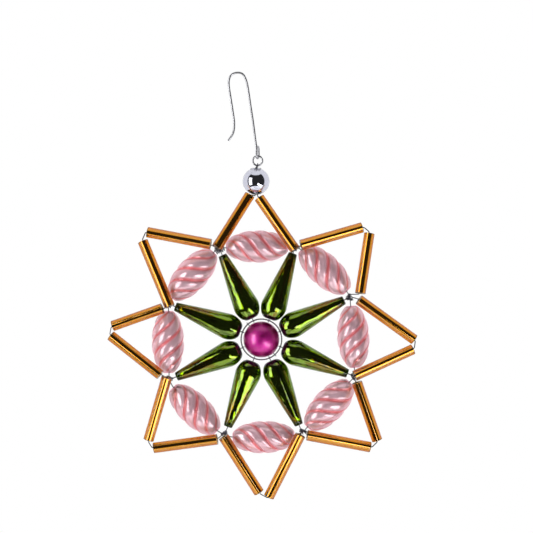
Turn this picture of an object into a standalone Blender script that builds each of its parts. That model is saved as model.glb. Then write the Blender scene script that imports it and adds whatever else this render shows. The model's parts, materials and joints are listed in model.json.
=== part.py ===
"""Beaded glass star that hangs from a wire hook.

Units are metres and +Z is up. The star stands in the XZ plane and faces -Y. The origin is the point inside
the hook's bend that rests on a branch or a thread.
"""

import math

import bpy
from mathutils import Quaternion, Vector

MM = 0.001

# Outline of the star, counted clockwise from the top. Offsets are what hand work adds to an even star.
POINTS = 8
JOINT_RADIUS = 30.2 * MM
TIP_RADIUS = 45.7 * MM
JOINT_RADIUS_OFFSETS = (0.1, -0.6, -0.7, 0.0, 0.4, 0.5, 0.1, -0.3)
JOINT_ANGLE_OFFSETS = (1.2, 1.2, 1.8, -0.3, 0.0, 0.2, 0.0, 0.4)
TIP_RADIUS_OFFSETS = (-2.7, -0.4, 0.0, 0.3, 0.9, -0.1, -0.7, 0.9)
TIP_ANGLE_OFFSETS = (1.6, 0.0, -3.0, 0.9, -0.3, -2.7, -4.4, 2.3)
# How far one tube of a point stands above its middle and the other one below it
TIP_SKEWS = (0.5, -0.1, 0.15, 0.05, 0.7, 0.25, 0.2, -0.4)
# Where the axes of two tubes cross near a joint, which tube leads there and how far it runs past the crossing
KNEE_RADIUS_OFFSETS = (0.7, -0.3, 2.1, -0.3, 0.0, 0.8, 0.6, -0.6)
KNEE_ANGLE_OFFSETS = (-0.2, 1.0, -3.4, 0.4, -1.0, 0.6, -1.0, 0.7)
LEADING_TUBES = "abababba"
LEADS = (0.65, 0.95, 0.15, 0.0, -0.3, 0.55, 0.65, 0.3)
CLEAR = 0.25 * MM

# Depths along Y. The star's weight hangs in the plane of the hook, and the tubes step forward at the joints.
RIM_DEPTH = 0.9 * MM
TUBE_STEP_FORWARD = 2.6 * MM  # more where the oval beads' shoulders need it

# Glass
BEAD_WALL = 0.45 * MM
BEAD_HOLE = 0.55 * MM
TUBE_RADIUS = 1.6 * MM
TUBE_BORE = 0.9 * MM
TUBE_GAP = 0.5 * MM
OLIVE_RADIUS = 5.0 * MM
OLIVE_MOUTH = 0.9 * MM
OLIVE_FULLNESS = 0.91
OLIVE_END_GAP = 1.85 * MM
OLIVE_END_RUN = 0.1 * MM
OLIVE_LIE = 0.25 * MM  # how far out a bead lies on its wire
OLIVE_FLUTES = 5
OLIVE_FLUTE_DEPTH = 0.35 * MM
OLIVE_TWIST = 250.0
# How far the rim wire bows out at each oval bead
OLIVE_BOWS = (0.0, 0.6, 0.0, 0.0, 0.8, 0.7, 0.0, 0.3)
OLIVE_ROLLS = (20, 65, 110, 40, 95, 10, 80, 130)
DROP_RADIUS = 3.75 * MM
DROP_INNER_MOUTH = 1.5 * MM
DROP_OUTER_MOUTH = 1.3 * MM
DROP_INNER_HOLE = 1.2 * MM
DROP_OUTER_GAP = 2.0 * MM
DROP_BULGE_OUT = 0.4 * MM
CENTRE_BEAD_RADIUS = 5.2 * MM
CENTRE_BEAD_NIB = 0.3 * MM
CENTRE_BEAD_NECK = 1.05 * MM
CENTRE_WIRE_ANGLE = -50.0
SILVER_BEAD_RADIUS = 4.05 * MM
SILVER_COLLAR_RADIUS = 1.65 * MM
SILVER_NECK_RADIUS = 1.05 * MM
SILVER_HOLE = 0.8 * MM
SILVER_COLLAR = 0.3 * MM
SILVER_NECK = 0.05 * MM
SILVER_ABOVE_TIP = 0.45 * MM

# Wire
WIRE_RADIUS = 0.16 * MM
EYE_CLEAR = 0.18 * MM
EYE_RADIUS = 2 * WIRE_RADIUS + EYE_CLEAR
CENTRE_RING_RADIUS = 6.1 * MM
JOINT_EASE = 0.35 * MM
RIM_WRAP_OFFSET = 0.7 * MM
MOUTH_RUN = 0.45 * MM
TOP_MOUTH_RUN = 0.1 * MM
MOUTH_TURN = 0.3 * MM
BORE_SIDE = 0.25 * MM
BORE_BACK = 0.48 * MM
STRAND_GAP = 0.18 * MM
STRAND_OFFSET = WIRE_RADIUS + STRAND_GAP / 2
STRAND_BEND = 0.35 * MM
JUMP_RING_RADIUS = 1.44 * MM
JUMP_RING_WIRE = 0.285 * MM
LINK_CLEAR = 0.12 * MM
RING_ABOVE_COLLAR = 0.75 * MM
HOOK_WIRE = 0.3 * MM
HOOK_EYE_HALF_WIDTH = 1.0 * MM
HOOK_EYE_HEIGHT = 3.5 * MM
HOOK_EYE_TURN = 20.0
# Hook wire in millimetres (x, z) from the top of its eye, up over the bend and down to the open end.
HOOK_ROUTE = (
    (-0.7, 3.4),
    (-1.2, 7.9),
    (-1.75, 12.0),
    (-2.3, 16.4),
    (-2.85, 19.6),
    (-3.9, 21.8),
    (-5.75, 22.3),
    (-7.5, 21.5),
    (-8.2, 19.3),
    (-7.75, 15.1),
    (-7.2, 11.0),
    (-6.8, 7.2),
    (-7.2, 4.2),
    (-8.7, 1.95),
)

# Fineness of the round shapes
BEAD_STEPS = 16
FLUTE_STEPS = 20
RING_STEPS = 28
THIN_BEVEL = 1
THICK_BEVEL = 2
EASE_STEPS = 1

FRONT = Vector((0, -1, 0))
UP = Vector((0, 0, 1))


def polar(radius, angle, depth=0.0):
    """Point of the star's plane at a radius and an angle, moved to a depth along Y."""
    turn = math.radians(angle)
    return Vector((radius * math.cos(turn), depth, radius * math.sin(turn)))


def clear_scene():
    for piece in list(bpy.data.objects):
        bpy.data.objects.remove(piece, do_unlink=True)


def new_material(name, colour, roughness, metallic=0.0, transmission=0.0):
    material = bpy.data.materials.new(name)
    material.use_nodes = True
    shader = material.node_tree.nodes["Principled BSDF"]
    shader.inputs["Base Color"].default_value = (*colour, 1.0)
    shader.inputs["Roughness"].default_value = roughness
    shader.inputs["Metallic"].default_value = metallic
    shader.inputs["Transmission Weight"].default_value = transmission
    material.diffuse_color = (*colour, 1.0)
    return material


def add_piece(name, data, parts, material):
    piece = bpy.data.objects.new(name, data)
    data.materials.append(material)
    parts["collection"].objects.link(piece)
    piece.parent = parts["centre"]
    return piece


def turned_mesh(name, profile, steps):
    """Mesh of a closed profile of (radius, height) pairs, outer side first from the top, turned about Z."""
    outline = bpy.data.meshes.new(name + "_outline")
    edges = [(k, (k + 1) % len(profile)) for k in range(len(profile))]
    outline.from_pydata([(radius, 0, height) for radius, height in profile], edges, [])
    blank = bpy.data.objects.new(name + "_blank", outline)
    bpy.context.scene.collection.objects.link(blank)
    screw = blank.modifiers.new("turn", "SCREW")
    screw.steps = steps
    screw.render_steps = steps
    screw.use_merge_vertices = True
    screw.merge_threshold = 0.01 * MM
    evaluated = blank.evaluated_get(bpy.context.evaluated_depsgraph_get())
    mesh = bpy.data.meshes.new_from_object(evaluated)
    bpy.data.objects.remove(blank, do_unlink=True)
    mesh.name = name
    mesh.shade_smooth()
    mesh.set_sharp_from_angle(angle=math.radians(40))
    return mesh


def shell_profile(outside, hole_top, hole_bottom):
    """Closed profile of a blown bead: its outside, top first, and an inner wall between the two holes."""
    top = outside[0][1]
    bottom = outside[-1][1]
    hole = min(hole_top, hole_bottom)
    inside = [(hole_bottom, bottom), (hole_bottom, bottom + BEAD_WALL)]
    for radius, height in reversed(outside[1:-1:2]):
        if bottom + 2 * BEAD_WALL < height < top - 2 * BEAD_WALL:
            inside.append((max(radius - BEAD_WALL, hole + BEAD_WALL / 2), height))
    inside += [(hole_top, top - BEAD_WALL), (hole_top, top)]
    return list(outside) + inside


def place_along(piece, middle, direction, roll=0.0):
    """Puts a turned piece with its axis along a direction."""
    turn = Quaternion((0, 0, 1), math.radians(roll))
    piece.rotation_mode = "QUATERNION"
    piece.rotation_quaternion = direction.to_track_quat("Z", "Y") @ turn
    piece.location = middle


def wire(name, route, radius, parts, material, closed=False, bevel=THIN_BEVEL):
    curve = bpy.data.curves.new(name, "CURVE")
    curve.dimensions = "3D"
    curve.bevel_depth = radius
    curve.bevel_resolution = bevel
    curve.use_fill_caps = not closed
    spline = curve.splines.new("POLY")
    spline.points.add(len(route) - 1)
    for point, place in zip(spline.points, route):
        point.co = (*place, 1.0)
    spline.use_cyclic_u = closed
    return add_piece(name, curve, parts, material)


def rounded(corners, cut, closed=False):
    """Route through corners, each eased by a short curve that begins at most cut before it."""
    route = []
    count = len(corners)
    for index, corner in enumerate(corners):
        if not closed and index in (0, count - 1):
            route.append(corner)
            continue
        before = corners[index - 1] - corner
        after = corners[(index + 1) % count] - corner
        start = corner + before.normalized() * min(cut, before.length * 0.45)
        end = corner + after.normalized() * min(cut, after.length * 0.45)
        for step in range(EASE_STEPS + 1):
            share = step / EASE_STEPS
            route.append(start * (1 - share) ** 2 + corner * 2 * share * (1 - share) + end * share**2)
    return route


def smooth(places, steps):
    """Even curve through a few places, for a wire that is bent by hand."""
    padded = [places[0] * 2 - places[1], *places, places[-1] * 2 - places[-2]]
    route = []
    for before, start, end, after in zip(padded, padded[1:], padded[2:], padded[3:]):
        for step in range(steps):
            share = step / steps
            route.append(
                0.5
                * (
                    2 * start
                    + (end - before) * share
                    + (2 * before - 5 * start + 4 * end - after) * share**2
                    + (3 * start - before - 3 * end + after) * share**3
                )
            )
    route.append(places[-1])
    return route


def arc(centre, first, second, radius, start, sweep, steps):
    """Points on a circle spanned by two directions, from a start angle through a sweep, in degrees."""
    points = []
    for step in range(steps + 1):
        turn = math.radians(start + sweep * step / steps)
        points.append(centre + (first * math.cos(turn) + second * math.sin(turn)) * radius)
    return points


def olive_radius_at(height, half):
    """Outside radius of an oval bead, before its flutes, at a height from its middle."""
    return max(OLIVE_RADIUS * math.sqrt(1 - (height / half) ** 2 * OLIVE_FULLNESS), OLIVE_MOUTH)


def olive_length(rim):
    return min((rim[k] - rim[k - 1]).length for k in range(POINTS)) - 2 * OLIVE_END_GAP


def olive_place(rim, k):
    """Middle, direction and outward direction of the oval bead between a joint and the next."""
    middle = (rim[k] + rim[(k + 1) % POINTS]) / 2
    outward = Vector((middle.x, 0, middle.z)).normalized()
    bow = OLIVE_BOWS[k] * MM
    return middle + outward * (OLIVE_LIE + bow), (rim[(k + 1) % POINTS] - rim[k]).normalized(), outward


def rim_route(rim):
    """Corners of the rim wire: the joints, and both ends of each oval bead that the wire bows out for."""
    route = []
    for k in range(POINTS):
        middle, along, outward = olive_place(rim, k)
        reach = along * (olive_length(rim) / 2 + OLIVE_END_RUN)
        middle -= outward * OLIVE_LIE
        route += [rim[k], middle - reach, middle + reach]
    return route


def step_over_olives(layout):
    """How far the tubes step forward at the joints, so that they pass over the oval beads' shoulders."""
    step = TUBE_STEP_FORWARD
    half = olive_length(layout["rim"]) / 2
    for k in range(POINTS):
        middle, along, outward = olive_place(layout["rim"], k)
        for knee in (layout["knee"][k], layout["knee"][(k + 1) % POINTS]):
            for tenth in range(7):
                share = 0.06 + tenth / 10
                place = knee.lerp(layout["tip"][k], share) - middle
                place.y = 0
                height = min(abs(place.dot(along)), half)
                reach = olive_radius_at(height, half) + TUBE_RADIUS + CLEAR
                beside = (place - along * place.dot(along)).length
                lift = math.sqrt(max(reach**2 - beside**2, 0))
                step = max(step, (lift - RIM_DEPTH * share) / (1 - share))
    return step


def star_layout():
    """Joints on the rim, joints between the tubes, tip places and the ends of the sixteen tubes."""
    layout = {"rim": [], "knee": [], "tip": [], "radial": [], "tube": {}}
    for k in range(POINTS):
        angle = 90 + 180 / POINTS - 360 * k / POINTS + JOINT_ANGLE_OFFSETS[k]
        radius = JOINT_RADIUS + JOINT_RADIUS_OFFSETS[k] * MM
        layout["radial"].append(polar(1, angle))
        layout["rim"].append(polar(radius, angle, RIM_DEPTH))
        knee_angle = angle + KNEE_ANGLE_OFFSETS[k]
        layout["knee"].append(polar(radius + KNEE_RADIUS_OFFSETS[k] * MM, knee_angle, RIM_DEPTH))
        angle = 90 - 360 * k / POINTS + TIP_ANGLE_OFFSETS[k]
        layout["tip"].append(polar(TIP_RADIUS + TIP_RADIUS_OFFSETS[k] * MM, angle))
    step = step_over_olives(layout)
    for knee in layout["knee"]:
        knee.y = RIM_DEPTH - step
    for k in range(POINTS):
        tip = layout["tip"][k]
        out = tip.normalized()
        across = Vector((out.z, 0, -out.x))
        for side, knee in (("a", layout["knee"][k]), ("b", layout["knee"][(k + 1) % POINTS])):
            lean = (tip - knee).normalized().dot(out)
            step = TUBE_RADIUS * lean + CLEAR / 2
            end = across * step - out * TIP_SKEWS[k] * MM
            layout["tube"][side, k] = [knee, tip + end if side == "b" else tip - end]
    for k in range(POINTS):
        butting, leading = joint_tubes(layout, k)
        along = (butting[1] - butting[0]).normalized()
        other = (leading[1] - leading[0]).normalized()
        lean = along.dot(other)
        turn = along.cross(other).length
        lead = LEADS[k] * MM
        if lean > 0:
            butting[0] = butting[0] + along * (TUBE_RADIUS * (1 + lean) + TUBE_GAP) / turn
            leading[0] = leading[0] + other * (TUBE_RADIUS * lean / turn - lead)
        else:
            butting[0] = butting[0] + along * (TUBE_RADIUS * turn - lead * lean + TUBE_GAP)
            leading[0] = leading[0] - other * lead
    return layout


def joint_tubes(layout, k):
    """The tube that butts and the one that leads at a joint."""
    pair = {"a": layout["tube"]["a", k], "b": layout["tube"]["b", (k - 1) % POINTS]}
    leading = pair.pop(LEADING_TUBES[k])
    return pair.popitem()[1], leading


def make_tubes(layout, parts, material):
    for (side, k), (inner, outer) in layout["tube"].items():
        half = (outer - inner).length / 2
        profile = [(TUBE_RADIUS, half), (TUBE_RADIUS, -half), (TUBE_BORE, -half), (TUBE_BORE, half)]
        name = f"tube_{k + 1}{side}"
        piece = add_piece(name, turned_mesh(name, profile, BEAD_STEPS), parts, material)
        place_along(piece, (inner + outer) / 2, outer - inner)


def olive_mesh(length):
    """Long bead with flutes that wind round it, between two narrow mouths."""
    half = length / 2
    rings = 17
    heights = [half * math.sin(math.pi / 2 * (1 - 2 * k / (rings - 1))) for k in range(rings)]
    outside = [(olive_radius_at(height, half), height) for height in heights]
    mesh = turned_mesh("olive", shell_profile(outside, BEAD_HOLE, BEAD_HOLE), FLUTE_STEPS)
    for vertex in mesh.vertices:
        radius = math.hypot(vertex.co.x, vertex.co.y)
        on_outside = radius > olive_radius_at(vertex.co.z, half) - BEAD_WALL / 2
        if on_outside and abs(vertex.co.z) < half * 0.99:
            fade = 1 - (abs(vertex.co.z) / half) ** 4
            around = math.atan2(vertex.co.y, vertex.co.x)
            radius -= OLIVE_FLUTE_DEPTH * fade * (0.5 - 0.5 * math.cos(OLIVE_FLUTES * around))
        turn = math.atan2(vertex.co.y, vertex.co.x) + math.radians(OLIVE_TWIST) * vertex.co.z / length
        vertex.co.x = radius * math.cos(turn)
        vertex.co.y = radius * math.sin(turn)
    return mesh


def make_olives(layout, parts, material):
    mesh = olive_mesh(olive_length(layout["rim"]))
    for k in range(POINTS):
        piece = add_piece(f"olive_{k + 1}", mesh.copy(), parts, material)
        middle, along, outward = olive_place(layout["rim"], k)
        place_along(piece, middle, along, OLIVE_ROLLS[k])


def spoke_ends(layout, k):
    """Where a spoke wire crosses the centre ring and the rim wire, and its direction."""
    inner = polar(CENTRE_RING_RADIUS, 90 + 180 / POINTS - 360 * k / POINTS, RIM_DEPTH)
    outer = layout["rim"][k]
    return inner, outer, (outer - inner).normalized()


def make_drops(layout, parts, material):
    start_gap = WIRE_RADIUS + CLEAR
    half_space = math.sin(math.pi / POINTS)
    free = min((spoke_ends(layout, k)[1] - spoke_ends(layout, k)[0]).length for k in range(POINTS))
    length = free - start_gap - DROP_OUTER_GAP
    bulge = (DROP_RADIUS + CLEAR) / half_space + DROP_BULGE_OUT - CENTRE_RING_RADIUS - start_gap
    outside = []
    for k in range(5):
        share = 1 - k / 4
        height = length / 2 - (length - bulge) * k / 4
        outside.append((DROP_OUTER_MOUTH + (DROP_RADIUS - DROP_OUTER_MOUTH) * (1 - share**1.05), height))
    for k in range(1, 5):
        share = math.sin(math.pi / 2 * k / 4)
        swell = (1 - share**2) ** 0.62 if k < 4 else 0.0
        height = -length / 2 + bulge * (1 - share)
        outside.append((DROP_INNER_MOUTH + (DROP_RADIUS - DROP_INNER_MOUTH) * swell, height))
    mesh = turned_mesh("drop", shell_profile(outside, BEAD_HOLE, DROP_INNER_HOLE), BEAD_STEPS)
    for k in range(POINTS):
        inner, outer, along = spoke_ends(layout, k)
        slack = (outer - inner).length - start_gap - DROP_OUTER_GAP - length
        middle = inner + FRONT * EYE_RADIUS + along * (start_gap + slack / 2 + length / 2)
        piece = add_piece(f"drop_{k + 1}", mesh.copy(), parts, material)
        place_along(piece, middle, along)


def ball_outside(radius, top_radius, bottom_radius, top_neck, bottom_neck, rings):
    """Outside of a round bead with a short neck at each end."""
    first = math.asin(top_radius / radius)
    last = math.pi - math.asin(bottom_radius / radius)
    outside = [(top_radius, radius * math.cos(first) + top_neck)]
    for k in range(rings):
        turn = first + (last - first) * k / (rings - 1)
        outside.append((radius * math.sin(turn), radius * math.cos(turn)))
    outside.append((bottom_radius, radius * math.cos(last) - bottom_neck))
    return outside


def make_centre_bead(parts, material):
    neck = CENTRE_BEAD_NECK
    outside = ball_outside(CENTRE_BEAD_RADIUS, neck, neck, CENTRE_BEAD_NIB, CENTRE_BEAD_NIB, 9)
    mesh = turned_mesh("centre_bead", shell_profile(outside, BEAD_HOLE, BEAD_HOLE), BEAD_STEPS)
    piece = add_piece("centre_bead", mesh, parts, material)
    place_along(piece, Vector((0, RIM_DEPTH - EYE_RADIUS, 0)), polar(1, CENTRE_WIRE_ANGLE))


def top_layout(layout):
    """Places up the middle: silver bead, jump ring and the lowest wire of the hook's eye."""
    tip = layout["tip"][0]
    bead = Vector((tip.x * 0.5, 0, tip.z + SILVER_ABOVE_TIP + SILVER_BEAD_RADIUS))
    for side, turn in (("a", -1), ("b", 1)):
        inner, outer = layout["tube"][side, 0]
        lean = (outer - inner).normalized()
        corner = outer + Vector((lean.z, 0, -lean.x)) * TUBE_RADIUS * turn
        reach = (SILVER_BEAD_RADIUS + CLEAR) ** 2 - (corner.x - bead.x) ** 2
        bead.z = max(bead.z, corner.z + math.sqrt(max(reach, 0)))
    collar_top = bead.z + math.sqrt(SILVER_BEAD_RADIUS**2 - SILVER_COLLAR_RADIUS**2) + SILVER_COLLAR
    ring_low = Vector((0, 0, collar_top + RING_ABOVE_COLLAR))
    ring = ring_low + UP * JUMP_RING_RADIUS
    eye_low = ring + UP * (JUMP_RING_RADIUS - JUMP_RING_WIRE - HOOK_WIRE - LINK_CLEAR)
    return {"bead": bead, "ring_low": ring_low, "ring": ring, "eye_low": eye_low}


def make_silver_bead(top, parts, material):
    outside = ball_outside(
        SILVER_BEAD_RADIUS, SILVER_COLLAR_RADIUS, SILVER_NECK_RADIUS, SILVER_COLLAR, SILVER_NECK, 9
    )
    mesh = turned_mesh("silver_bead", shell_profile(outside, SILVER_HOLE, SILVER_HOLE), BEAD_STEPS)
    piece = add_piece("silver_bead", mesh, parts, material)
    piece.location = top["bead"]


def make_ring_and_spokes(layout, parts, material):
    """Centre ring, the wires that carry the drops, and the wire across the ring for the centre bead."""
    ring = arc(
        Vector((0, RIM_DEPTH, 0)), Vector((1, 0, 0)), UP, CENTRE_RING_RADIUS, 0, 360, RING_STEPS
    )
    wire("centre_ring", ring[:-1], WIRE_RADIUS, parts, material, closed=True)
    for k in range(POINTS):
        inner, outer, along = spoke_ends(layout, k)
        start_eye = arc(inner, FRONT, -along, EYE_RADIUS, 250, -250, 6)
        end_eye = arc(outer, FRONT, along, EYE_RADIUS, 0, 250, 6)
        wire(f"spoke_wire_{k + 1}", start_eye + end_eye, WIRE_RADIUS, parts, material)
    across = polar(1, CENTRE_WIRE_ANGLE)
    middle = Vector((0, RIM_DEPTH, 0))
    first = arc(middle - across * CENTRE_RING_RADIUS, FRONT, -across, EYE_RADIUS, 200, -200, 6)
    last = arc(middle + across * CENTRE_RING_RADIUS, FRONT, across, EYE_RADIUS, 0, 200, 6)
    wire("centre_bead_wire", first + last, WIRE_RADIUS, parts, material)


def make_rim_wire(layout, parts, material):
    route = rounded(rim_route(layout["rim"]), JOINT_EASE, closed=True)
    wire("rim_wire", route, WIRE_RADIUS, parts, material, closed=True)


def joint_corners(layout, k):
    """Corners of the tube wire at a joint, from one tube's mouth round the rim wire to the next mouth."""
    rim = layout["rim"][k]
    radial = layout["radial"][k]
    butting, leading = joint_tubes(layout, k)
    neighbour = rim_route(layout["rim"])[3 * k + (1 if LEADING_TUBES[k] == "b" else -1)]
    along = (butting[1] - butting[0]).normalized()
    inward = (along * radial.dot(along) - radial).normalized()
    back = -FRONT
    leave = butting[0] + inward * BORE_SIDE + back * BORE_BACK
    wrap = rim + (neighbour - rim).normalized() * RIM_WRAP_OFFSET + back * EYE_RADIUS
    out = radial * EYE_RADIUS
    enter = leading[0] - (leading[1] - leading[0]).normalized() * MOUTH_RUN
    over = wrap - out + FRONT * 2 * EYE_RADIUS
    behind = enter + back * (TUBE_RADIUS + WIRE_RADIUS + CLEAR)
    corners = [leave + along * MOUTH_RUN, leave - along * MOUTH_TURN, wrap + out, wrap - out, over]
    corners += [behind, enter]
    return corners if LEADING_TUBES[k] == "b" else corners[::-1]


def tip_corners(layout, k):
    corners = []
    for side in ("b", "a"):
        inner, outer = layout["tube"][side, k]
        corners.append(outer + (outer - inner).normalized() * (MOUTH_RUN if k else TOP_MOUTH_RUN))
    return corners


def make_tube_wire(layout, top, parts, material):
    """One wire through all sixteen tubes, both of whose strands rise through the silver bead to a loop."""
    bead = top["bead"]
    ring_low = top["ring_low"]
    loop = JUMP_RING_WIRE + WIRE_RADIUS + LINK_CLEAR
    low = bead - UP * (SILVER_BEAD_RADIUS + STRAND_BEND)
    high = bead + UP * (SILVER_BEAD_RADIUS - CLEAR)
    left = Vector((-STRAND_OFFSET, 0, 0))
    last_mouth, first_mouth = tip_corners(layout, 0)
    corners = [ring_low + FRONT * loop, high + left, low + left, first_mouth]
    for step in range(POINTS):
        k = -step % POINTS
        corners += joint_corners(layout, k)
        if step < POINTS - 1:
            corners += tip_corners(layout, (k - 1) % POINTS)
    corners += [last_mouth, low - left, high - left, ring_low - FRONT * loop]
    crown = ring_low + UP * loop
    corners += [crown - FRONT * loop, crown + FRONT * loop]
    wire("tube_wire", rounded(corners, JOINT_EASE, closed=True), WIRE_RADIUS, parts, material, closed=True)


def make_jump_ring(top, parts, material):
    ring = arc(top["ring"], Vector((1, 0, 0)), UP, JUMP_RING_RADIUS, 0, 360, 24)
    wire("jump_ring", ring[:-1], JUMP_RING_WIRE, parts, material, closed=True, bevel=THICK_BEVEL)


def hook_route(top):
    """Hook wire from the end of its eye, down round the eye, up the shank and over the bend."""
    turn = math.radians(HOOK_EYE_TURN)
    wide = Vector((math.sin(turn), math.cos(turn), 0))
    half = HOOK_EYE_HALF_WIDTH
    low = top["eye_low"] + UP * half
    curl = (2 * half - 2 * HOOK_WIRE - LINK_CLEAR) / 2
    crown = top["eye_low"] + UP * (HOOK_EYE_HEIGHT - curl) + wide * (half - curl)
    eye = arc(crown, wide, UP, curl, 150, -150, 6) + arc(low, wide, UP, half, 0, -180, 8)
    eye_top = top["eye_low"] + UP * HOOK_EYE_HEIGHT
    shank = [eye[-1], eye_top - wide * half]
    shank += [eye_top + Vector((x * MM, 0, z * MM)) for x, z in HOOK_ROUTE]
    shank[2].y = -half * 0.4
    return eye[:-1] + smooth(shank, 2)


def make_hook(route, parts, material):
    wire("hook", route, HOOK_WIRE, parts, material, bevel=THICK_BEVEL)


def build():
    clear_scene()
    layout = star_layout()
    top = top_layout(layout)
    route = hook_route(top)
    apex = max(route, key=lambda place: place.z)
    parts = {"collection": bpy.data.collections.new("star_ornament")}
    bpy.context.scene.collection.children.link(parts["collection"])
    parts["centre"] = bpy.data.objects.new("star_centre", None)
    parts["centre"].location = -(apex - UP * HOOK_WIRE)
    parts["collection"].objects.link(parts["centre"])

    gold = new_material("gold_glass", (0.72, 0.42, 0.08), 0.12, metallic=1.0)
    pink = new_material("pink_glass", (0.85, 0.42, 0.45), 0.2, transmission=0.3)
    green = new_material("green_glass", (0.22, 0.4, 0.02), 0.08, metallic=1.0)
    magenta = new_material("magenta_glass", (0.5, 0.03, 0.25), 0.35, metallic=0.6)
    silver = new_material("silver_glass", (0.85, 0.85, 0.88), 0.05, metallic=1.0)
    steel = new_material("steel_wire", (0.6, 0.6, 0.62), 0.25, metallic=1.0)

    make_tubes(layout, parts, gold)
    make_olives(layout, parts, pink)
    make_drops(layout, parts, green)
    make_centre_bead(parts, magenta)
    make_silver_bead(top, parts, silver)
    make_ring_and_spokes(layout, parts, steel)
    make_rim_wire(layout, parts, steel)
    make_tube_wire(layout, top, parts, steel)
    make_jump_ring(top, parts, steel)
    make_hook(route, parts, steel)


build()
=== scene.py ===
"""Beaded glass star on a bent wire hook: its finished pieces, their finishes and the studio around them."""

import json
import math

import bmesh
import bpy
from mathutils import Matrix, Quaternion, Vector


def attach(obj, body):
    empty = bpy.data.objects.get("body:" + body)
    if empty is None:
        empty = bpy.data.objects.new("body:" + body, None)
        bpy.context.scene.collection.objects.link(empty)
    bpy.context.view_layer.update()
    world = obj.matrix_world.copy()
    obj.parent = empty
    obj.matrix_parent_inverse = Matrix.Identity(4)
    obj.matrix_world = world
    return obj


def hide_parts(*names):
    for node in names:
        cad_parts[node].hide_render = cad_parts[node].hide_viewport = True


bl_info = {
    "name": "Beaded Star Ornament",
    "version": (1, 0, 0),
    "blender": (4, 5, 0),
    "location": "3D Viewport > Sidebar > Star",
    "description": "Glass beads, wires and studio of a hanging beaded star",
    "category": "Add Mesh",
}

# The star stands in the XZ plane and faces -Y
SIDE = Vector((1, 0, 0))
BACK = Vector((0, 1, 0))
UP = Vector((0, 0, 1))
MM = 0.001
TOUCHING = 0.001 * MM
BEAD_FACETS = 56
TUBE_FACETS = 48

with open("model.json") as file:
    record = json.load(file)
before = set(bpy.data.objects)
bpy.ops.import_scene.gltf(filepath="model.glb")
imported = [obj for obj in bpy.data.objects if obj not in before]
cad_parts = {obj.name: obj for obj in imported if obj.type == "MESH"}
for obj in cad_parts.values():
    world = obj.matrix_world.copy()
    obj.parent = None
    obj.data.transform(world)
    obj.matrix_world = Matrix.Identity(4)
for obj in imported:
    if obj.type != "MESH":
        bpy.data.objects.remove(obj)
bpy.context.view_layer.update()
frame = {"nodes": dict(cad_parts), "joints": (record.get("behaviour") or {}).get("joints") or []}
JOINTS = {joint["name"]: joint for joint in frame["joints"]}
STAR_CENTRE = Vector(JOINTS["spin_centre_bead"]["pos_m"])
RING_LOW = Vector(JOINTS["link_swing_front"]["pos_m"])
EYE_LOW = Vector(JOINTS["link_swing_side"]["pos_m"])
SIDES = range(1, 9)


# Sizes and colours that a user would change


def length(name, description, millimetres):
    """A size that is written in millimetres and kept in metres."""
    return bpy.props.FloatProperty(
        name=name, description=description, default=millimetres * MM, min=0.0, unit="LENGTH", precision=5
    )


def tint(name, description, colour):
    return bpy.props.FloatVectorProperty(
        name=name, description=description, default=colour, size=3, min=0.0, max=1.0, subtype="COLOR"
    )


class StarSizes(bpy.types.PropertyGroup):
    """Sizes of the beads and wires"""

    tube_radius: length("Tube radius", "Outside of a gold tube", 1.6)
    tube_bore: length("Tube bore", "Radius of the silvered bore of a gold tube", 0.9)
    tube_bevel: length("Tube edge", "Melted edge at a tube's cut ends", 0.1)
    olive_radius: length("Oval bead radius", "Outside of an oval bead between its grooves", 5.0)
    olive_mouth: length("Oval bead mouth", "Radius of an oval bead's blunt ends", 1.5)
    olive_wall: length("Oval bead wall", "Thickness of the pink glass over the pearly core", 0.75)
    olive_groove: bpy.props.FloatProperty(
        name="Groove depth",
        description="Depth of the glass's grooves as a share of its radius",
        default=0.07,
        subtype="FACTOR",
    )
    olive_core_groove: bpy.props.FloatProperty(
        name="Core groove depth",
        description="Depth of the pearly core's grooves as a share of its radius",
        default=0.18,
        subtype="FACTOR",
    )
    olive_twist: bpy.props.FloatProperty(
        name="Twist",
        description="Turn of the grooves from end to end",
        default=math.radians(365),
        subtype="ANGLE",
    )
    drop_radius: length("Drop radius", "Widest radius of a drop bead", 3.9)
    drop_inner_mouth: length("Drop inner mouth", "Radius of a drop's inner end", 1.5)
    drop_outer_mouth: length("Drop outer mouth", "Radius of a drop's outer end", 1.3)
    drop_bulge: length("Drop bulge", "Distance from a drop's inner end to its widest place", 4.34)
    drop_wall: length("Drop wall", "Green glass over the drops' lustre", 0.3)
    drop_inner_hole: length("Drop inner hole", "Radius of the recess at a drop's inner end", 1.2)
    centre_radius: length("Centre bead radius", "Radius of the magenta bead", 5.4)
    centre_glass: length("Centre bead glass", "Thickness of the glass over the satin core", 0.4)
    silver_radius: length("Silver bead radius", "Radius of the silvered bead's clear glass", 4.05)
    bead_hole: length("Bead hole", "Radius of the hole through a bead", 0.55)
    eye_radius: length("Eye radius", "Radius of the eyes at the wires' ends", 0.5)
    ring_radius: length("Centre ring radius", "Middle radius of the ring round the centre bead", 6.1)
    ring_strand: length("Ring strand", "Radius of one of the centre ring's two twisted strands", 0.11)
    wrap_wire: length("Wrapping wire", "Radius of the loose turns of wire at the joints", 0.125)
    hook_radius: length("Hook wire radius", "Radius of the hook's wire", 0.33)
    jump_ring_radius: length("Jump ring radius", "Middle radius of the jump ring", 1.44)
    jump_ring_wire: length("Jump ring wire", "Radius of the jump ring's wire", 0.285)


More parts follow.
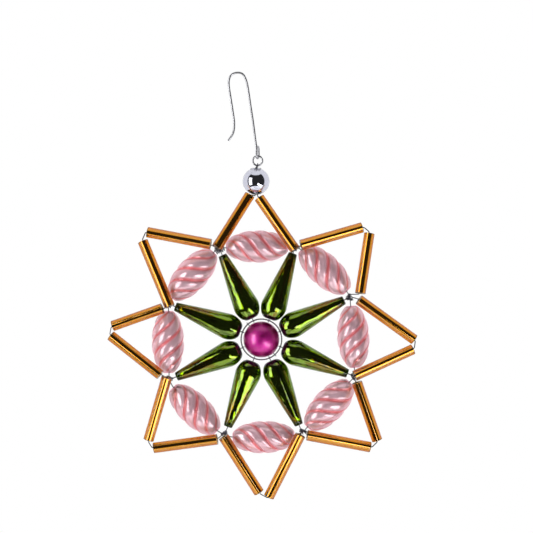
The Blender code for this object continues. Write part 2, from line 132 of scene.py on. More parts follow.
class StarColours(bpy.types.PropertyGroup):
    """Colours of the glass and metal"""

    amber: tint("Amber", "What the tubes' glass lets through", (0.9, 0.66, 0.0))
    lining: tint("Lining", "Silver inside the tubes", (0.95, 0.92, 0.85))
    pink: tint("Pink", "What the oval beads' glass lets through", (1.0, 0.43, 0.56))
    pearl: tint("Pearl", "Pearly coat inside the oval beads", (1.0, 0.98, 1.0))
    salmon: tint("Salmon", "Paint in the grooves of the oval beads", (1.0, 0.47, 0.44))
    green: tint("Green", "What the drops' glass lets through", (0.73, 0.81, 0.0))
    lustre: tint("Lustre", "Lining inside the drops", (0.88, 0.92, 0.6))
    olive: tint("Olive brown", "Uneven part of the drops' lining", (1.0, 0.46, 0.3))
    magenta: tint("Magenta", "Satin core of the centre bead", (0.86, 0.1, 1.0))
    crimson: tint("Crimson", "What the centre bead's glass lets through", (0.94, 0.1, 0.48))
    silver: tint("Silver", "Mirror inside the silver bead", (0.76, 0.76, 0.82))
    clear: tint("Clear glass", "Faintly blue glass of the silver bead", (0.80, 0.81, 0.87))
    steel: tint("Steel", "Jump ring and hook", (0.40, 0.40, 0.42))
    string: tint("String wire", "Oxidised wire that the beads are strung on", (0.07, 0.07, 0.085))


# Materials


class Recipe:
    """A material's nodes, added one after another."""

    def __init__(self, name):
        self.material = bpy.data.materials.new(name)
        self.material.use_nodes = True
        self.tree = self.material.node_tree
        self.shader = self.tree.nodes["Principled BSDF"]
        self.output = self.tree.nodes["Material Output"]

    def add(self, kind, **values):
        node = self.tree.nodes.new(kind)
        for key, value in values.items():
            setattr(node, key, value)
        return node

    def link(self, source, target):
        self.tree.links.new(source, target)

    def set(self, **values):
        for key, value in values.items():
            self.shader.inputs[key.replace("_", " ")].default_value = value

    def place(self, stretch=(1, 1, 1)):
        """The piece's own unplaced coordinates in millimetres, stretched."""
        own = self.add("ShaderNodeAttribute", attribute_name="own_place")
        mapping = self.add("ShaderNodeMapping")
        mapping.inputs["Scale"].default_value = tuple(1000 * s for s in stretch)
        self.link(own.outputs["Vector"], mapping.inputs["Vector"])
        return mapping.outputs["Vector"]

    def noise(self, vector, scale, detail=2.0):
        node = self.add("ShaderNodeTexNoise")
        node.inputs["Scale"].default_value = scale
        node.inputs["Detail"].default_value = detail
        self.link(vector, node.inputs["Vector"])
        return node.outputs["Fac"]

    def ramp(self, value, *stops):
        """Colours along a value, from stops of (place, colour), where one number stands for a grey."""
        node = self.add("ShaderNodeValToRGB")
        stop_list = node.color_ramp.elements
        while len(stop_list) < len(stops):
            stop_list.new(0.5)
        for element, (place, colour) in zip(stop_list, stops):
            element.position = place
            element.color = (colour, colour, colour, 1.0) if isinstance(colour, float) else (*colour, 1.0)
        self.link(value, node.inputs["Fac"])
        return node.outputs["Color"]

    def bump(self, height, strength, distance):
        node = self.add("ShaderNodeBump")
        node.inputs["Strength"].default_value = strength
        node.inputs["Distance"].default_value = distance
        self.link(height, node.inputs["Height"])
        self.link(node.outputs["Normal"], self.shader.inputs["Normal"])

    def glass(self, colour=(1, 1, 1), roughness=0.0, ior=1.5):
        self.set(Base_Color=(*colour, 1), Roughness=roughness, IOR=ior, Transmission_Weight=1.0)

    def absorb(self, colour, density):
        """Tints a glass through its depth, with the density per metre."""
        node = self.add("ShaderNodeVolumeAbsorption")
        node.inputs["Color"].default_value = (*colour, 1.0)
        node.inputs["Density"].default_value = density
        self.link(node.outputs["Volume"], self.output.inputs["Volume"])


def shade(colour, share):
    return tuple(part * share for part in colour)


def amber_glass():
    recipe = Recipe("amber_tube_glass")
    colours = bpy.context.scene.star_colours
    recipe.glass()
    recipe.absorb(colours.amber, 2300)
    return recipe.material


def silver_lining():
    """Silver inside the tubes, with the fine lengthwise streaks of drawn glass."""
    recipe = Recipe("tube_silver_lining")
    colours = bpy.context.scene.star_colours
    recipe.set(Base_Color=(*colours.lining, 1), Metallic=1.0)
    streaks = recipe.noise(recipe.place((1.6, 1.6, 0.02)), 3.0)
    recipe.link(recipe.ramp(streaks, (0.3, 0.02), (0.75, 0.09)), recipe.shader.inputs["Roughness"])
    recipe.bump(streaks, 0.12, 0.0001)
    return recipe.material


def pink_glass():
    recipe = Recipe("pink_bead_glass")
    colours = bpy.context.scene.star_colours
    recipe.glass(roughness=0.02, ior=1.25)
    recipe.absorb(colours.pink, 400)
    return recipe.material


def pearl_coat():
    """Pearly lining: cloudy lilac silver with a satin sheen, and salmon along the grooves."""
    recipe = Recipe("pearl_bead_lining")
    colours = bpy.context.scene.star_colours
    recipe.set(Metallic=0.26, Roughness=0.2, Specular_IOR_Level=1.0, Coat_Weight=1.0, Coat_Roughness=0.08)
    clouds = recipe.noise(recipe.place((0.5, 0.5, 0.25)), 1.0, 3.0)
    pearl = recipe.ramp(clouds, (0.35, shade(colours.pearl, 0.9)), (0.62, colours.pearl))
    groove = recipe.add("ShaderNodeAttribute", attribute_name="groove")
    line = recipe.add("ShaderNodeMapRange", interpolation_type="SMOOTHSTEP")
    line.inputs["From Min"].default_value = 0.08
    line.inputs["From Max"].default_value = 0.75
    recipe.link(groove.outputs["Fac"], line.inputs["Value"])
    paint = recipe.add("ShaderNodeMix", data_type="RGBA")
    recipe.link(line.outputs["Result"], paint.inputs["Factor"])
    recipe.link(pearl, paint.inputs["A"])
    paint.inputs["B"].default_value = (*colours.salmon, 1)
    recipe.link(paint.outputs["Result"], recipe.shader.inputs["Base Color"])
    return recipe.material


def green_glass():
    recipe = Recipe("green_drop_glass")
    colours = bpy.context.scene.star_colours
    recipe.glass()
    recipe.absorb(colours.green, 9600)
    return recipe.material


def drop_lustre():
    """Mirror lining of the drops, uneven between pale green and olive brown in streaks along the bead, with
    streaks of painted shade: a darkened copy of the green that stands in for dark reflections.
    """
    recipe = Recipe("green_drop_lustre")
    colours = bpy.context.scene.star_colours
    recipe.set(Metallic=1.0, Roughness=0.03)
    clouds = recipe.noise(recipe.place((0.6, 0.6, 0.05)), 1.0, 3.0)
    # The darkened copy of the lustre is painted shade, standing in for the dark reflections of the room and
    # of the neighbouring beads
    dark = shade(colours.lustre, 0.4)
    stops = ((0.36, dark), (0.44, colours.lustre), (0.52, colours.lustre), (0.60, colours.olive))
    recipe.link(recipe.ramp(clouds, *stops), recipe.shader.inputs["Base Color"])
    recipe.bump(recipe.noise(recipe.place((0.9, 0.9, 0.05)), 1.0, 2.0), 0.2, 0.0006)
    return recipe.material


def crimson_glass():
    recipe = Recipe("crimson_bead_glass")
    colours = bpy.context.scene.star_colours
    recipe.glass(roughness=0.25)
    recipe.absorb(colours.crimson, 2000)
    return recipe.material


def magenta_satin():
    """Satin core of the centre bead, a little cloudy."""
    recipe = Recipe("magenta_satin_core")
    colours = bpy.context.scene.star_colours
    recipe.set(Metallic=0.9, Roughness=0.4)
    clouds = recipe.noise(recipe.place(), 0.4, 2.0)
    satin = recipe.ramp(clouds, (0.4, shade(colours.magenta, 0.85)), (0.6, colours.magenta))
    recipe.link(satin, recipe.shader.inputs["Base Color"])
    return recipe.material


def mirror_silver():
    recipe = Recipe("silver_bead_mirror")
    colours = bpy.context.scene.star_colours
    recipe.set(Base_Color=(*colours.silver, 1), Metallic=1.0, Roughness=0.02)
    return recipe.material


def clear_glass():
    recipe = Recipe("clear_bead_glass")
    recipe.glass(bpy.context.scene.star_colours.clear)
    return recipe.material


def steel_wire(name, colour):
    """Drawn wire, a little uneven in tone and in gloss."""
    recipe = Recipe(name)
    recipe.set(Metallic=1.0)
    place = recipe.add("ShaderNodeTexCoord").outputs["Object"]
    patches = recipe.noise(place, 140, 2.0)
    tone = recipe.ramp(patches, (0.4, colour), (0.66, shade(colour, 1.25)))
    recipe.link(tone, recipe.shader.inputs["Base Color"])
    recipe.link(recipe.ramp(patches, (0.3, 0.36), (0.7, 0.28)), recipe.shader.inputs["Roughness"])
    return recipe.material


# Modelling helpers


def start_clean():
    if bpy.context.mode != "OBJECT":
        bpy.ops.object.mode_set(mode="OBJECT")
    bpy.ops.object.select_all(action="DESELECT")


def pick(piece):
    start_clean()
    piece.select_set(True)
    bpy.context.view_layer.objects.active = piece


def turn_on_lathe(name, outline, facets, sharp=35):
    """Draws a closed outline of (radius, height) point by point and spins it about Z."""
    start_clean()
    bpy.ops.mesh.primitive_plane_add(size=MM, location=(0, 0, 0))
    piece = bpy.context.object
    piece.name = name
    bpy.ops.object.mode_set(mode="EDIT")
    bpy.ops.mesh.select_all(action="SELECT")
    bpy.ops.mesh.merge(type="CENTER")
    here = Vector((outline[0][0], 0, outline[0][1]))
    bpy.ops.transform.translate(value=here)
    for radius, height in [*outline[1:], outline[0]]:
        there = Vector((radius, 0, height))
        bpy.ops.mesh.extrude_vertices_move(TRANSFORM_OT_translate={"value": there - here})
        here = there
    bpy.ops.mesh.select_all(action="SELECT")
    bpy.ops.mesh.remove_doubles(threshold=TOUCHING)
    bpy.ops.mesh.spin(steps=facets, angle=2 * math.pi, center=(0, 0, 0), axis=(0, 0, 1))
    bpy.ops.mesh.select_all(action="SELECT")
    bpy.ops.mesh.remove_doubles(threshold=2 * TOUCHING)
    bpy.ops.mesh.normals_make_consistent(inside=False)
    bpy.ops.object.mode_set(mode="OBJECT")
    bpy.ops.object.shade_smooth_by_angle(angle=math.radians(sharp))
    return piece


def bend_wire(name, route, radius, closed=False, roundness=3):
    """Lays a round wire along a route and turns it into a mesh."""
    start_clean()
    bpy.ops.curve.primitive_nurbs_path_add(location=(0, 0, 0))
    piece = bpy.context.object
    piece.name = name
    curve = piece.data
    curve.splines.clear()
    spline = curve.splines.new("POLY")
    spline.points.add(len(route) - 1)
    for point, place in zip(spline.points, route):
        point.co = (*place, 1.0)
    spline.use_cyclic_u = closed
    curve.bevel_depth = radius
    curve.bevel_resolution = roundness
    curve.use_fill_caps = not closed
    bpy.ops.object.convert(target="MESH")
    piece = bpy.context.object
    bpy.ops.object.mode_set(mode="EDIT")
    bpy.ops.mesh.select_all(action="SELECT")
    bpy.ops.mesh.remove_doubles(threshold=TOUCHING)
    bpy.ops.mesh.normals_make_consistent(inside=False)
    bpy.ops.object.mode_set(mode="OBJECT")
    bpy.ops.object.shade_smooth_by_angle(angle=math.radians(50))
    return piece


def ball_side(radius, top, low, steps):
    """Points of (radius, height) down a ball, from one width near its top to another near its foot."""
    first = math.asin(top / radius)
    last = math.pi - math.asin(low / radius)
    turns = [first + (last - first) * k / steps for k in range(steps + 1)]
    return [(radius * math.sin(turn), radius * math.cos(turn)) for turn in turns]


def smooth_route(places, steps):
    """Even curve through a few places, as wire is bent by hand."""
    padded = [places[0] * 2 - places[1], *places, places[-1] * 2 - places[-2]]
    route = []
    for before, start, end, after in zip(padded, padded[1:], padded[2:], padded[3:]):
        for step in range(steps):
            t = step / steps
            curve = 2 * start + (end - before) * t
            curve += (2 * before - 5 * start + 4 * end - after) * t**2
            curve += (3 * start - before - 3 * end + after) * t**3
            route.append(curve / 2)
    route.append(places[-1])
    return route


def circle_route(centre, first, second, radius, start, sweep, steps):
    turns = [math.radians(start + sweep * step / steps) for step in range(steps + 1)]
    return [centre + (first * math.cos(t) + second * math.sin(t)) * radius for t in turns]


def coil_route(middle, along, radius, turns, pitch, lean=0.0):
    """Helix of hand-wound wire round a direction: its width wobbles, and it may lean to one side."""
    first = along.orthogonal().normalized()
    second = along.cross(first)
    route = []
    steps = round(turns * 14)
    unevenness = 0.12
    for step in range(steps + 1):
        turn = 2 * math.pi * turns * step / steps
        travel = (step / steps - 0.5) * turns * pitch
        wobble = 1 + unevenness * math.sin(2.3 * turn)
        reach = (first * math.cos(turn) + second * math.sin(turn)) * radius * wobble
        route.append(middle + along * travel + reach + first * lean * math.sin(turn / 2))
    return route


def joint_place(k, eye):
    """Middle of a spoke's outer eye and the direction out to it."""
    points = [vertex.co for vertex in frame["nodes"][f"spoke_wire_{k}"].data.vertices]
    far = max(points, key=lambda point: (point - STAR_CENTRE).length)
    out = Vector((far.x - STAR_CENTRE.x, 0, far.z - STAR_CENTRE.z)).normalized()
    return far - out * eye, out


def weld(name, pieces):
    start_clean()
    for piece in pieces:
        piece.select_set(True)
    bpy.context.view_layer.objects.active = pieces[0]
    bpy.ops.object.join()
    pieces[0].name = name
    return pieces[0]


def remember_place(piece):
    """Keeps each point's place before the piece is set in the star, for its material's pattern."""
    own = piece.data.attributes.new("own_place", "FLOAT_VECTOR", "POINT")
    own.data.foreach_set("vector", [c for vertex in piece.data.vertices for c in vertex.co])


def bead_axis(name):
    """Middle, outward direction and length of a bead of the frame, measured along its joint."""
    joint = JOINTS["spin_" + name]
    along = Vector(joint["axis"]).normalized()
    origin = Vector(joint["pos_m"])
    heights = [(vertex.co - origin).dot(along) for vertex in frame["nodes"][name].data.vertices]
    low, high = min(heights), max(heights)
    return origin + along * (low + high) / 2, along, high - low


def set_in_star(pattern, name, node, material, roll=0.0, model_length=None):
    """Copies a finished pattern piece and lays it along a bead's axis, rolled by some degrees.

    Where the pattern's own length is given, the copy is stretched to the bead's.
    """
    piece = pattern.copy()
    piece.data = pattern.data.copy()
    piece.name = name
    piece.data.name = name
    bpy.context.scene.collection.objects.link(piece)
    middle, along, span = bead_axis(node)
    stretch = span / model_length if model_length else 1.0
    turn = along.to_track_quat("Z", "Y") @ Quaternion((0, 0, 1), math.radians(roll))
    piece.matrix_world = Matrix.LocRotScale(middle, turn, Vector((1, 1, stretch)))
    pick(piece)
    bpy.ops.object.transform_apply(location=True, rotation=True, scale=True)
    dress(piece, material, node)
    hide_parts(node)


def dress(piece, material, body):
    """Gives a piece its one material and the body it moves with."""
    piece.data.materials.clear()
    piece.data.materials.append(material)
    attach(piece, body)


def discard(*pieces):
    for piece in pieces:
        bpy.data.objects.remove(piece, do_unlink=True)


# Pieces


class STAR_OT_tubes(bpy.types.Operator):
    """Sixteen gold tubes: amber glass with a silvered bore"""

    bl_idname = "star.tubes"
    bl_label = "Gold tubes"

    def execute(self, context):
        sizes = context.scene.star_sizes
        span = 20 * MM
        half = span / 2
        rounding = 0.3
        radius, bore, bevel = sizes.tube_radius, sizes.tube_bore, sizes.tube_bevel
        outline = [
            (radius - bevel, half),
            (radius - bevel * rounding, half - bevel * rounding),
            (radius, half - bevel),
            (radius, bevel - half),
            (radius - bevel * rounding, bevel * rounding - half),
            (radius - bevel, -half),
            (bore + bevel * 0.5, -half),
            (bore, bevel * 0.5 - half),
            (bore, half - bevel * 0.5),
            (bore + bevel * 0.5, half),
        ]
        glass = turn_on_lathe("tube_pattern", outline, TUBE_FACETS, 15)
        inset = 0.06 * MM
        outer, inner = bore + 0.02 * MM, bore - 0.06 * MM
        coat = [(outer, half - inset), (outer, inset - half), (inner, inset - half), (inner, half - inset)]
        lining = turn_on_lathe("lining_pattern", coat, TUBE_FACETS, 15)
        remember_place(glass)
        remember_place(lining)
        amber = amber_glass()
        silver = silver_lining()
        for k in SIDES:
            for side in "ab":
                node = f"tube_{k}{side}"
                roll = 37 * k + (90 if side == "b" else 0)
                set_in_star(glass, node + "_glass", node, amber, roll, span)
                set_in_star(lining, node + "_lining", node, silver, roll, span)
        discard(glass, lining)
        return {"FINISHED"}


def oval_side(sizes, half, reach, wall, rings):
    """Points of (radius, height) up an oval bead with blunt ends, a wall inside its glass."""
    blunt = 1 - (sizes.olive_mouth / sizes.olive_radius) ** 2
    side = []
    for k in range(rings + 1):
        height = reach * math.sin(math.pi / 2 * (2 * k / rings - 1))
        side.append((sizes.olive_radius * math.sqrt(1 - (height / half) ** 2 * blunt) - wall, height))
    return side


def fluted_oval(name, outline, flutes, notch, depth, twist):
    """Grows an oval bead ring by ring from its mouth: each ring is extruded, sized, pinched and turned.

    The notch holds the groove's depth at each point round one flute, as a share of the whole depth.
    """
    around = flutes * len(notch)
    start_clean()
    radius, height = outline[0]
    bpy.ops.mesh.primitive_circle_add(vertices=around, radius=radius, location=(0, 0, height))
    piece = bpy.context.object
    piece.name = name
    bpy.ops.object.transform_apply(location=True, rotation=True, scale=True)
    bpy.ops.object.mode_set(mode="EDIT")
    bpy.ops.mesh.select_all(action="SELECT")
    bpy.ops.mesh.edge_face_add()
    half = abs(height)
    turned = 0.0
    pinched = 0.0
    mesh = bmesh.from_edit_mesh(piece.data)
    mesh.verts.layers.float.new("groove")
    bmesh.update_edit_mesh(piece.data)
    for (before, below), (after, height) in zip(outline, outline[1:]):
        wanted = depth * (1 - abs(height / half) ** 4)
        bpy.ops.mesh.extrude_region_move(TRANSFORM_OT_translate={"value": (0, 0, height - below)})
        bpy.ops.transform.resize(value=(after / before, after / before, 1), center_override=(0, 0, height))
        mesh = bmesh.from_edit_mesh(piece.data)
        groove = mesh.verts.layers.float["groove"]
        for vertex in [v for v in mesh.verts if v.select]:
            angle = math.atan2(vertex.co.y, vertex.co.x) - turned
            share = notch[round(angle / (2 * math.pi) * around) % len(notch)]
            vertex.co.xy *= (1 - wanted * share) / (1 - pinched * share)
            vertex[groove] = share
        bmesh.update_edit_mesh(piece.data)
        # transform.rotate turns the other way with no window
        turn = twist * (height - below) / (2 * half)
        bpy.ops.transform.rotate(value=-turn, orient_axis="Z", center_override=(0, 0, height))
        turned += turn
        pinched = wanted
    bpy.ops.mesh.select_all(action="SELECT")
    bpy.ops.mesh.normals_make_consistent(inside=False)
    bpy.ops.object.mode_set(mode="OBJECT")
    fine = piece.modifiers.new("fine", "SUBSURF")
    fine.levels = 1
    fine.render_levels = 1
    bpy.ops.object.modifier_apply(modifier="fine")
    bpy.ops.object.shade_smooth()
    return piece


class STAR_OT_olives(bpy.types.Operator):
    """Eight pink oval beads: grooved glass over a pearly core with deeper grooves"""

    bl_idname = "star.olives"
    bl_label = "Pink oval beads"

    def execute(self, context):
        sizes = context.scene.star_sizes
        flutes, rings = 4, 30
        half = bead_axis("olive_1")[2] / 2
        mouth = sizes.olive_mouth * 0.8
        outline = [(mouth, -half), *oval_side(sizes, half, half, 0, rings), (mouth, half)]
        soft = (1.0, 0.7, 0.35, 0.12, 0.03, 0.0, 0.03, 0.12, 0.35, 0.7)
        twist = sizes.olive_twist
        glass = fluted_oval("oval_glass_pattern", outline, flutes, soft, sizes.olive_groove, twist)
        core_reach = half - 0.6 * MM
        outline = oval_side(sizes, half, core_reach, sizes.olive_wall, rings)
        sharp = (1.0, 0.5, 0.2, 0.06, 0.01, 0.0, 0.01, 0.06, 0.2, 0.5)
        core = fluted_oval("oval_core_pattern", outline, flutes, sharp, sizes.olive_core_groove, twist)
        remember_place(glass)
        remember_place(core)
        pink = pink_glass()
        pearl = pearl_coat()
        rolls = (20, 65, 110, 40, 95, 10, 80, 130)
        for k, roll in zip(SIDES, rolls):
            node = f"olive_{k}"
            set_in_star(glass, node + "_glass", node, pink, roll)
            set_in_star(core, node + "_pearl", node, pearl, roll)
        discard(glass, core)
        return {"FINISHED"}


def drop_side(sizes, span, edge):
    """Points of (radius, height) down a drop, from its outer mouth over the bulge to its inner mouth."""
    steps, cone_swell, bulge_roundness = 12, 1.05, 0.62
    radius, bulge = sizes.drop_radius, sizes.drop_bulge
    inner, outer = sizes.drop_inner_mouth, sizes.drop_outer_mouth
    top = span / 2 - edge
    side = [(outer, top)]
    for k in range(1, steps + 1):
        share = k / steps
        width = outer + (radius - outer) * (1 - (1 - share) ** cone_swell)
        side.append((width, top - (span - bulge - edge) * share))
    for k in range(1, steps):
        share = math.sin(math.pi / 2 * k / steps)
        width = inner + (radius - inner) * (1 - share**2) ** bulge_roundness
        side.append((width, bulge * (1 - share) - span / 2))
    return [*side, (inner, edge - span / 2)]


class STAR_OT_drops(bpy.types.Operator):
    """Eight green drop beads, widest near the middle of the star"""

    bl_idname = "star.drops"
    bl_label = "Green drops"

    def execute(self, context):
        sizes = context.scene.star_sizes
        span = bead_axis("drop_1")[2]
        half = span / 2
        hole, wall, edge = sizes.bead_hole, sizes.drop_wall, 0.12 * MM
        inner, outer = sizes.drop_inner_mouth, sizes.drop_outer_mouth
        side = drop_side(sizes, span, edge)
        recess = 0.5 * MM - half
        outline = [(hole, half), (outer - edge, half), *side, (inner - edge, -half)]
        outline += [(sizes.drop_inner_hole, -half), (sizes.drop_inner_hole, recess), (hole, recess)]
        glass = turn_on_lathe("drop_pattern", outline, BEAD_FACETS, 50)
        coat_top = half - 0.4 * MM
        coat = [(hole, coat_top)]
        for width, height in side[1:-1]:
            if height > recess + 1.3 * wall:
                coat.append((width - wall, min(height, coat_top)))
        coat += [(coat[-1][0] - 0.7 * MM, recess + wall), (hole, recess + wall)]
        lining = turn_on_lathe("drop_lining_pattern", coat, BEAD_FACETS, 50)
        remember_place(glass)
        remember_place(lining)
        green = green_glass()
        lustre = drop_lustre()
        for k in SIDES:
            node = f"drop_{k}"
            set_in_star(glass, node + "_glass", node, green, 53 * k)
            set_in_star(lining, node + "_lustre", node, lustre, 53 * k)
        discard(glass, lining)
        return {"FINISHED"}


def core_outline(side, hole):
    """Closes a core's side along the bead's hole."""
    return [(hole, side[0][1]), *side, (hole, side[-1][1])]


class STAR_OT_centre_bead(bpy.types.Operator):
    """Satin magenta bead in the wire ring"""

    bl_idname = "star.centre_bead"
    bl_label = "Centre bead"

    def execute(self, context):
        sizes = context.scene.star_sizes
        half = bead_axis("centre_bead")[2] / 2
        neck, core_neck, hole = 1.05 * MM, 0.8 * MM, sizes.bead_hole
        side = ball_side(sizes.centre_radius, neck, neck, 24)
        outline = [(hole, half), (neck, half), *side, (neck, -half), (hole, -half)]
        bead = turn_on_lathe("centre_pattern", outline, BEAD_FACETS)
        side = ball_side(sizes.centre_radius - sizes.centre_glass, core_neck, core_neck, 24)
        core = turn_on_lathe("centre_core_pattern", core_outline(side, hole), BEAD_FACETS)
        remember_place(bead)
        remember_place(core)
        set_in_star(bead, "centre_bead_glass", "centre_bead", crimson_glass())
        set_in_star(core, "centre_bead_satin", "centre_bead", magenta_satin())
        discard(bead, core)
        return {"FINISHED"}


class STAR_OT_silver_bead(bpy.types.Operator):
    """Clear glass bead, silvered inside, with a collar at the top and a nib below"""

    bl_idname = "star.silver_bead"
    bl_label = "Silver bead"

    def execute(self, context):
        sizes = context.scene.star_sizes
        radius, hole = sizes.silver_radius, 0.8 * MM
        collar, collar_height, collar_edge = 1.65 * MM, 0.3 * MM, 0.15 * MM
        nib, nib_height, nib_edge = 1.05 * MM, 0.05 * MM, 0.1 * MM
        side = ball_side(radius, collar, nib, 20)
        top = side[0][1] + collar_height
        low = side[-1][1] - nib_height
        outline = [(hole, top), (collar - collar_edge, top), (collar, top - collar_edge)]
        outline += [*side, (nib - nib_edge, low), (hole, low)]
        glass = turn_on_lathe("silver_glass_pattern", outline, BEAD_FACETS)
        wall, mirror_mouth = 0.35 * MM, 1.2 * MM
        side = ball_side(radius - wall, mirror_mouth, mirror_mouth, 20)
        mirror = turn_on_lathe("silver_mirror_pattern", core_outline(side, hole), BEAD_FACETS)
        remember_place(glass)
        remember_place(mirror)
        middle = Vector(JOINTS["spin_silver_bead"]["pos_m"])
        for pattern, name, material in (
            (glass, "silver_bead_glass", clear_glass()),
            (mirror, "silver_bead_mirror", mirror_silver()),
        ):
            pattern.location = middle
            pick(pattern)
            bpy.ops.object.transform_apply(location=True, rotation=True, scale=True)
            pattern.name = name
            dress(pattern, material, "silver_bead")
            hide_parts("silver_bead")
        return {"FINISHED"}


class STAR_OT_metal(bpy.types.Operator):
    """Hook, jump ring, centre ring, wrapped joints and the finish of the stringing wires"""

    bl_idname = "star.metal"
    bl_label = "Hook, rings and wires"

    def execute(self, context):
        sizes = context.scene.star_sizes
        colours = context.scene.star_colours
        steel = steel_wire("grey_steel", colours.steel)
        string = steel_wire("dark_string_wire", colours.string)
        # The frame's own stringing wires stay, in this finish
        for name, node in frame["nodes"].items():
            if "wire" in name:
                node.data.materials.clear()
                node.data.materials.append(string)
        self.make_jump_ring(sizes, steel)
        self.make_centre_ring(sizes, string)
        for k in SIDES:
            self.wrap_joint(k, sizes, string)
        self.make_hook(sizes, steel)
        return {"FINISHED"}

    def make_jump_ring(self, sizes, steel):
        """Wire circle whose ends almost meet at the upper right."""
        middle = RING_LOW + UP * sizes.jump_ring_radius
        route = circle_route(middle, SIDE, UP, sizes.jump_ring_radius, 33, 356, 64)
        ring = bend_wire("jump_ring_wire", route, sizes.jump_ring_wire, roundness=7)
        dress(ring, steel, "jump_ring")
        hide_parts("jump_ring")

    def make_centre_ring(self, sizes, string):
        """Two strands twisted round each other."""
        middle = Vector((STAR_CENTRE.x, STAR_CENTRE.y + sizes.eye_radius, STAR_CENTRE.z))
        steps, twists = 288, 26
        for strand in (0, 1):
            route = []
            for step in range(steps):
                turn = 2 * math.pi * step / steps
                lay = twists * turn + math.pi * strand
                reach = sizes.ring_radius + sizes.ring_strand * math.cos(lay)
                depth = sizes.ring_strand * math.sin(lay)
                route.append(middle + (SIDE * math.cos(turn) + UP * math.sin(turn)) * reach + BACK * depth)
            ring = bend_wire(f"centre_ring_strand_{strand + 1}", route, sizes.ring_strand, True)
            dress(ring, string, "star")
            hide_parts("centre_ring")

    def wrap_joint(self, k, sizes, string):
        """Loose turns on the spoke and on the rim at both sides, and a knot, which is largest at joint 1."""
        joint, out = joint_place(k, sizes.eye_radius)
        across = Vector((out.z, 0, -out.x))
        pitch = 0.27 * MM
        routes = [coil_route(joint - out * 1.0 * MM, out, 0.3 * MM, 3, pitch)]
        for aside in (-1, 1):
            spot = joint + across * aside * (0.75 + 0.1 * (k % 3)) * MM
            routes.append(coil_route(spot, across, 0.32 * MM, 2.7, pitch))
        # Turns, radius, pitch and distance inwards from the rim
        turns, radius, pitch, inwards = (5.2, 0.72, 0.58, 0.95) if k == 1 else (2.6, 0.5, 0.5, 0.6)
        spot = joint - out * inwards * MM
        routes.append(coil_route(spot, across, radius * MM, turns, pitch * MM, 0.1 * MM))
        coils = [bend_wire(f"wrap_{k}_{n}", route, sizes.wrap_wire) for n, route in enumerate(routes)]
        dress(weld(f"joint_wraps_{k}", coils), string, "star")

    def make_hook(self, sizes, steel):
        """One wire: its eye's curled end, round the eye, up the shank and over the bend to the tail."""
        lean = math.radians(20)
        wide = Vector((math.sin(lean), math.cos(lean), 0))
        half, eye_height = 1.0 * MM, 3.5 * MM
        curl = half - sizes.hook_radius - 0.06 * MM
        crown = EYE_LOW + UP * (eye_height - curl) + wide * (half - curl)
        eye = circle_route(crown, wide, UP, curl, 150, -150, 14)
        eye += circle_route(EYE_LOW + UP * half, wide, UP, half, 0, -180, 18)
        eye_top = EYE_LOW + UP * eye_height
        # Places along the wire from the top of the eye, in millimetres across and up
        bends = (
            (-0.7, 3.4),
            (-1.2, 7.9),
            (-1.75, 12.0),
            (-2.3, 16.4),
            (-2.85, 19.6),
            (-3.9, 21.8),
            (-5.75, 22.3),
            (-7.5, 21.5),
            (-8.2, 19.3),
            (-7.75, 15.1),
            (-7.2, 11.0),
            (-6.8, 7.2),
            (-7.2, 4.2),
            (-8.7, 1.95),
        )
        shank = [eye[-1], eye_top - wide * half]
        shank += [eye_top + SIDE * x * MM + UP * z * MM for x, z in bends]
        # Its first bend eases the wire from the eye's side to the hook's plane
        shank[2].y = -half * 0.4
        hook = bend_wire("hook_wire", eye[:-1] + smooth_route(shank, 8), sizes.hook_radius, roundness=9)
        dress(hook, steel, "hook")
        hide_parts("hook")


# Studio


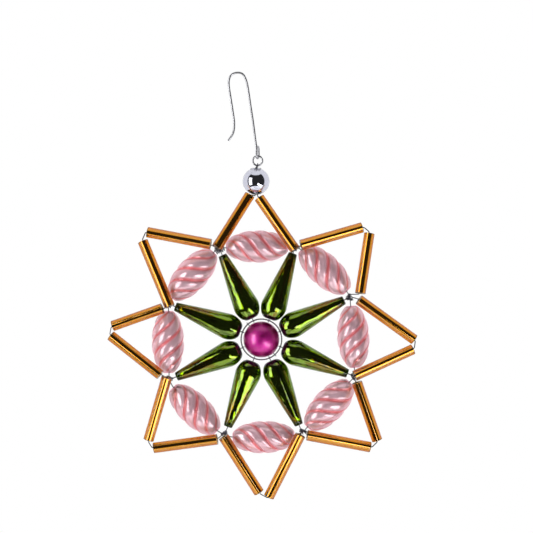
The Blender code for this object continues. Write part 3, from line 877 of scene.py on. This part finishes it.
class STAR_OT_stage(bpy.types.Operator):
    """Camera, soft lights, white surround and floor"""

    bl_idname = "star.stage"
    bl_label = "Studio"

    def execute(self, context):
        scene = context.scene
        scene.view_settings.view_transform = "Standard"
        self.place_camera(scene)
        self.light_world(scene)
        # Each softbox has a brighter lamp in its middle
        self.add_softbox("left_softbox", -54, 4, 0.26, 0.56, 0, 3.2)
        self.add_softbox("left_lamp", -54, 4, 0.07, 0.5, 0, 12)
        self.add_softbox("low_right_softbox", 41, -31, 0.5, 0.15, -20, 4.0)
        self.add_softbox("low_right_lamp", 41, -31, 0.36, 0.05, -20, 13)
        self.add_floor()
        return {"FINISHED"}

    def place_camera(self, scene):
        """Looks along +Y with a long lens, rolled as the photograph is."""
        roll = math.radians(1.2)
        right = Vector((math.cos(roll), 0, -math.sin(roll)))
        up = Vector((math.sin(roll), 0, math.cos(roll)))
        target = Vector((STAR_CENTRE.x, 0, STAR_CENTRE.z)) + right * 1.53 * MM + up * 21.9 * MM
        view_width = 160 * MM
        data = bpy.data.cameras.new("camera")
        data.lens = 200
        data.sensor_width = 36
        camera = bpy.data.objects.new("camera", data)
        scene.collection.objects.link(camera)
        distance = view_width * data.lens / data.sensor_width
        turn = Matrix((right, up, -BACK)).transposed()
        camera.matrix_world = Matrix.Translation(target - BACK * distance) @ turn.to_4x4()
        data.clip_start = 0.01
        data.clip_end = 50
        scene.camera = camera

    def light_world(self, scene):
        """White all round, but for a dark room behind the camera, which the glass mirrors in black stripes.

        The camera itself sees white there too. The edges are angles in degrees, from white to dark.
        """
        side_edge, top_edge, low_edge = (88, 78), (60, 52), (-62, -54)
        darkness = 0.97
        world = bpy.data.worlds.new("studio")
        scene.world = world
        world.use_nodes = True
        tree = world.node_tree
        tree.nodes.clear()

        def add(kind, **values):
            node = tree.nodes.new(kind)
            for key, value in values.items():
                setattr(node, key, value)
            return node

        def math_node(operation, first, second=None):
            node = add("ShaderNodeMath", operation=operation)
            for socket, value in zip(node.inputs, (first, second)):
                if isinstance(value, (int, float)):
                    socket.default_value = value
                elif value is not None:
                    tree.links.new(value, socket)
            return node.outputs[0]

        def soft_edge(angle, degrees):
            node = add("ShaderNodeMapRange", interpolation_type="SMOOTHSTEP")
            tree.links.new(angle, node.inputs["Value"])
            node.inputs["From Min"].default_value = math.radians(degrees[0])
            node.inputs["From Max"].default_value = math.radians(degrees[1])
            return node.outputs["Result"]

        place = add("ShaderNodeTexCoord")
        parts = add("ShaderNodeSeparateXYZ")
        tree.links.new(place.outputs["Generated"], parts.inputs[0])
        aside = math_node("ARCTAN2", parts.outputs["X"], math_node("MULTIPLY", parts.outputs["Y"], -1))
        height = math_node("ARCSINE", parts.outputs["Z"])
        between_sides = soft_edge(math_node("ABSOLUTE", aside), side_edge)
        below_top = soft_edge(height, top_edge)
        above_foot = soft_edge(height, low_edge)
        dark = math_node("MULTIPLY", math_node("MULTIPLY", between_sides, below_top), above_foot)
        paths = add("ShaderNodeLightPath")
        dark = math_node("MULTIPLY", dark, math_node("SUBTRACT", 1, paths.outputs["Is Camera Ray"]))
        strength = math_node("SUBTRACT", 1, math_node("MULTIPLY", dark, darkness))
        background = add("ShaderNodeBackground")
        background.inputs["Color"].default_value = (1, 1, 1, 1)
        tree.links.new(strength, background.inputs["Strength"])
        output = add("ShaderNodeOutputWorld")
        tree.links.new(background.outputs[0], output.inputs["Surface"])

    def add_softbox(self, name, aside, height, wide, tall, roll, brightness):
        """A soft rectangular light aimed at the star, placed and rolled by degrees, sized in metres."""
        distance = 0.5
        aside, height = math.radians(aside), math.radians(height)
        direction = Vector((math.sin(aside), -math.cos(aside), 0)) * math.cos(height) + UP * math.sin(height)
        data = bpy.data.lights.new(name, "AREA")
        data.shape = "RECTANGLE"
        data.size = wide
        data.size_y = tall
        data.energy = brightness * math.pi * wide * tall
        light = bpy.data.objects.new(name, data)
        bpy.context.scene.collection.objects.link(light)
        light.visible_camera = False
        turn = direction.to_track_quat("Z", "Y") @ Quaternion((0, 0, 1), math.radians(roll))
        light.matrix_world = Matrix.LocRotScale(STAR_CENTRE + direction * distance, turn, None)

    def add_floor(self):
        """Pale round floor well below the star, which shows only the shadow on it."""
        start_clean()
        middle = (STAR_CENTRE.x, 0, -420 * MM)
        bpy.ops.mesh.primitive_circle_add(vertices=96, radius=400 * MM, fill_type="NGON", location=middle)
        floor = bpy.context.object
        floor.name = "floor"
        bpy.ops.object.transform_apply(location=True, rotation=True, scale=True)
        material = bpy.data.materials.new("pale_floor")
        material.use_nodes = True
        shader = material.node_tree.nodes["Principled BSDF"]
        shader.inputs["Base Color"].default_value = (0.9, 0.9, 0.9, 1)
        shader.inputs["Roughness"].default_value = 0.9
        floor.data.materials.append(material)
        floor.is_shadow_catcher = True


class STAR_PT_panel(bpy.types.Panel):
    """Lists the steps that build the star"""

    bl_label = "Beaded Star"
    bl_idname = "STAR_PT_panel"
    bl_space_type = "VIEW_3D"
    bl_region_type = "UI"
    bl_category = "Star"

    def draw(self, context):
        for step in STEPS:
            self.layout.operator(step.bl_idname)


STEPS = (
    STAR_OT_tubes,
    STAR_OT_olives,
    STAR_OT_drops,
    STAR_OT_centre_bead,
    STAR_OT_silver_bead,
    STAR_OT_metal,
    STAR_OT_stage,
)
CLASSES = (StarSizes, StarColours, *STEPS, STAR_PT_panel)


def register():
    for each in CLASSES:
        bpy.utils.register_class(each)
    bpy.types.Scene.star_sizes = bpy.props.PointerProperty(type=StarSizes)
    bpy.types.Scene.star_colours = bpy.props.PointerProperty(type=StarColours)


def unregister():
    del bpy.types.Scene.star_sizes
    del bpy.types.Scene.star_colours
    for each in reversed(CLASSES):
        bpy.utils.unregister_class(each)


def main():
    register()
    bpy.ops.star.tubes()
    bpy.ops.star.olives()
    bpy.ops.star.drops()
    bpy.ops.star.centre_bead()
    bpy.ops.star.silver_bead()
    bpy.ops.star.metal()
    bpy.ops.star.stage()


if __name__ == "__main__":
    main()
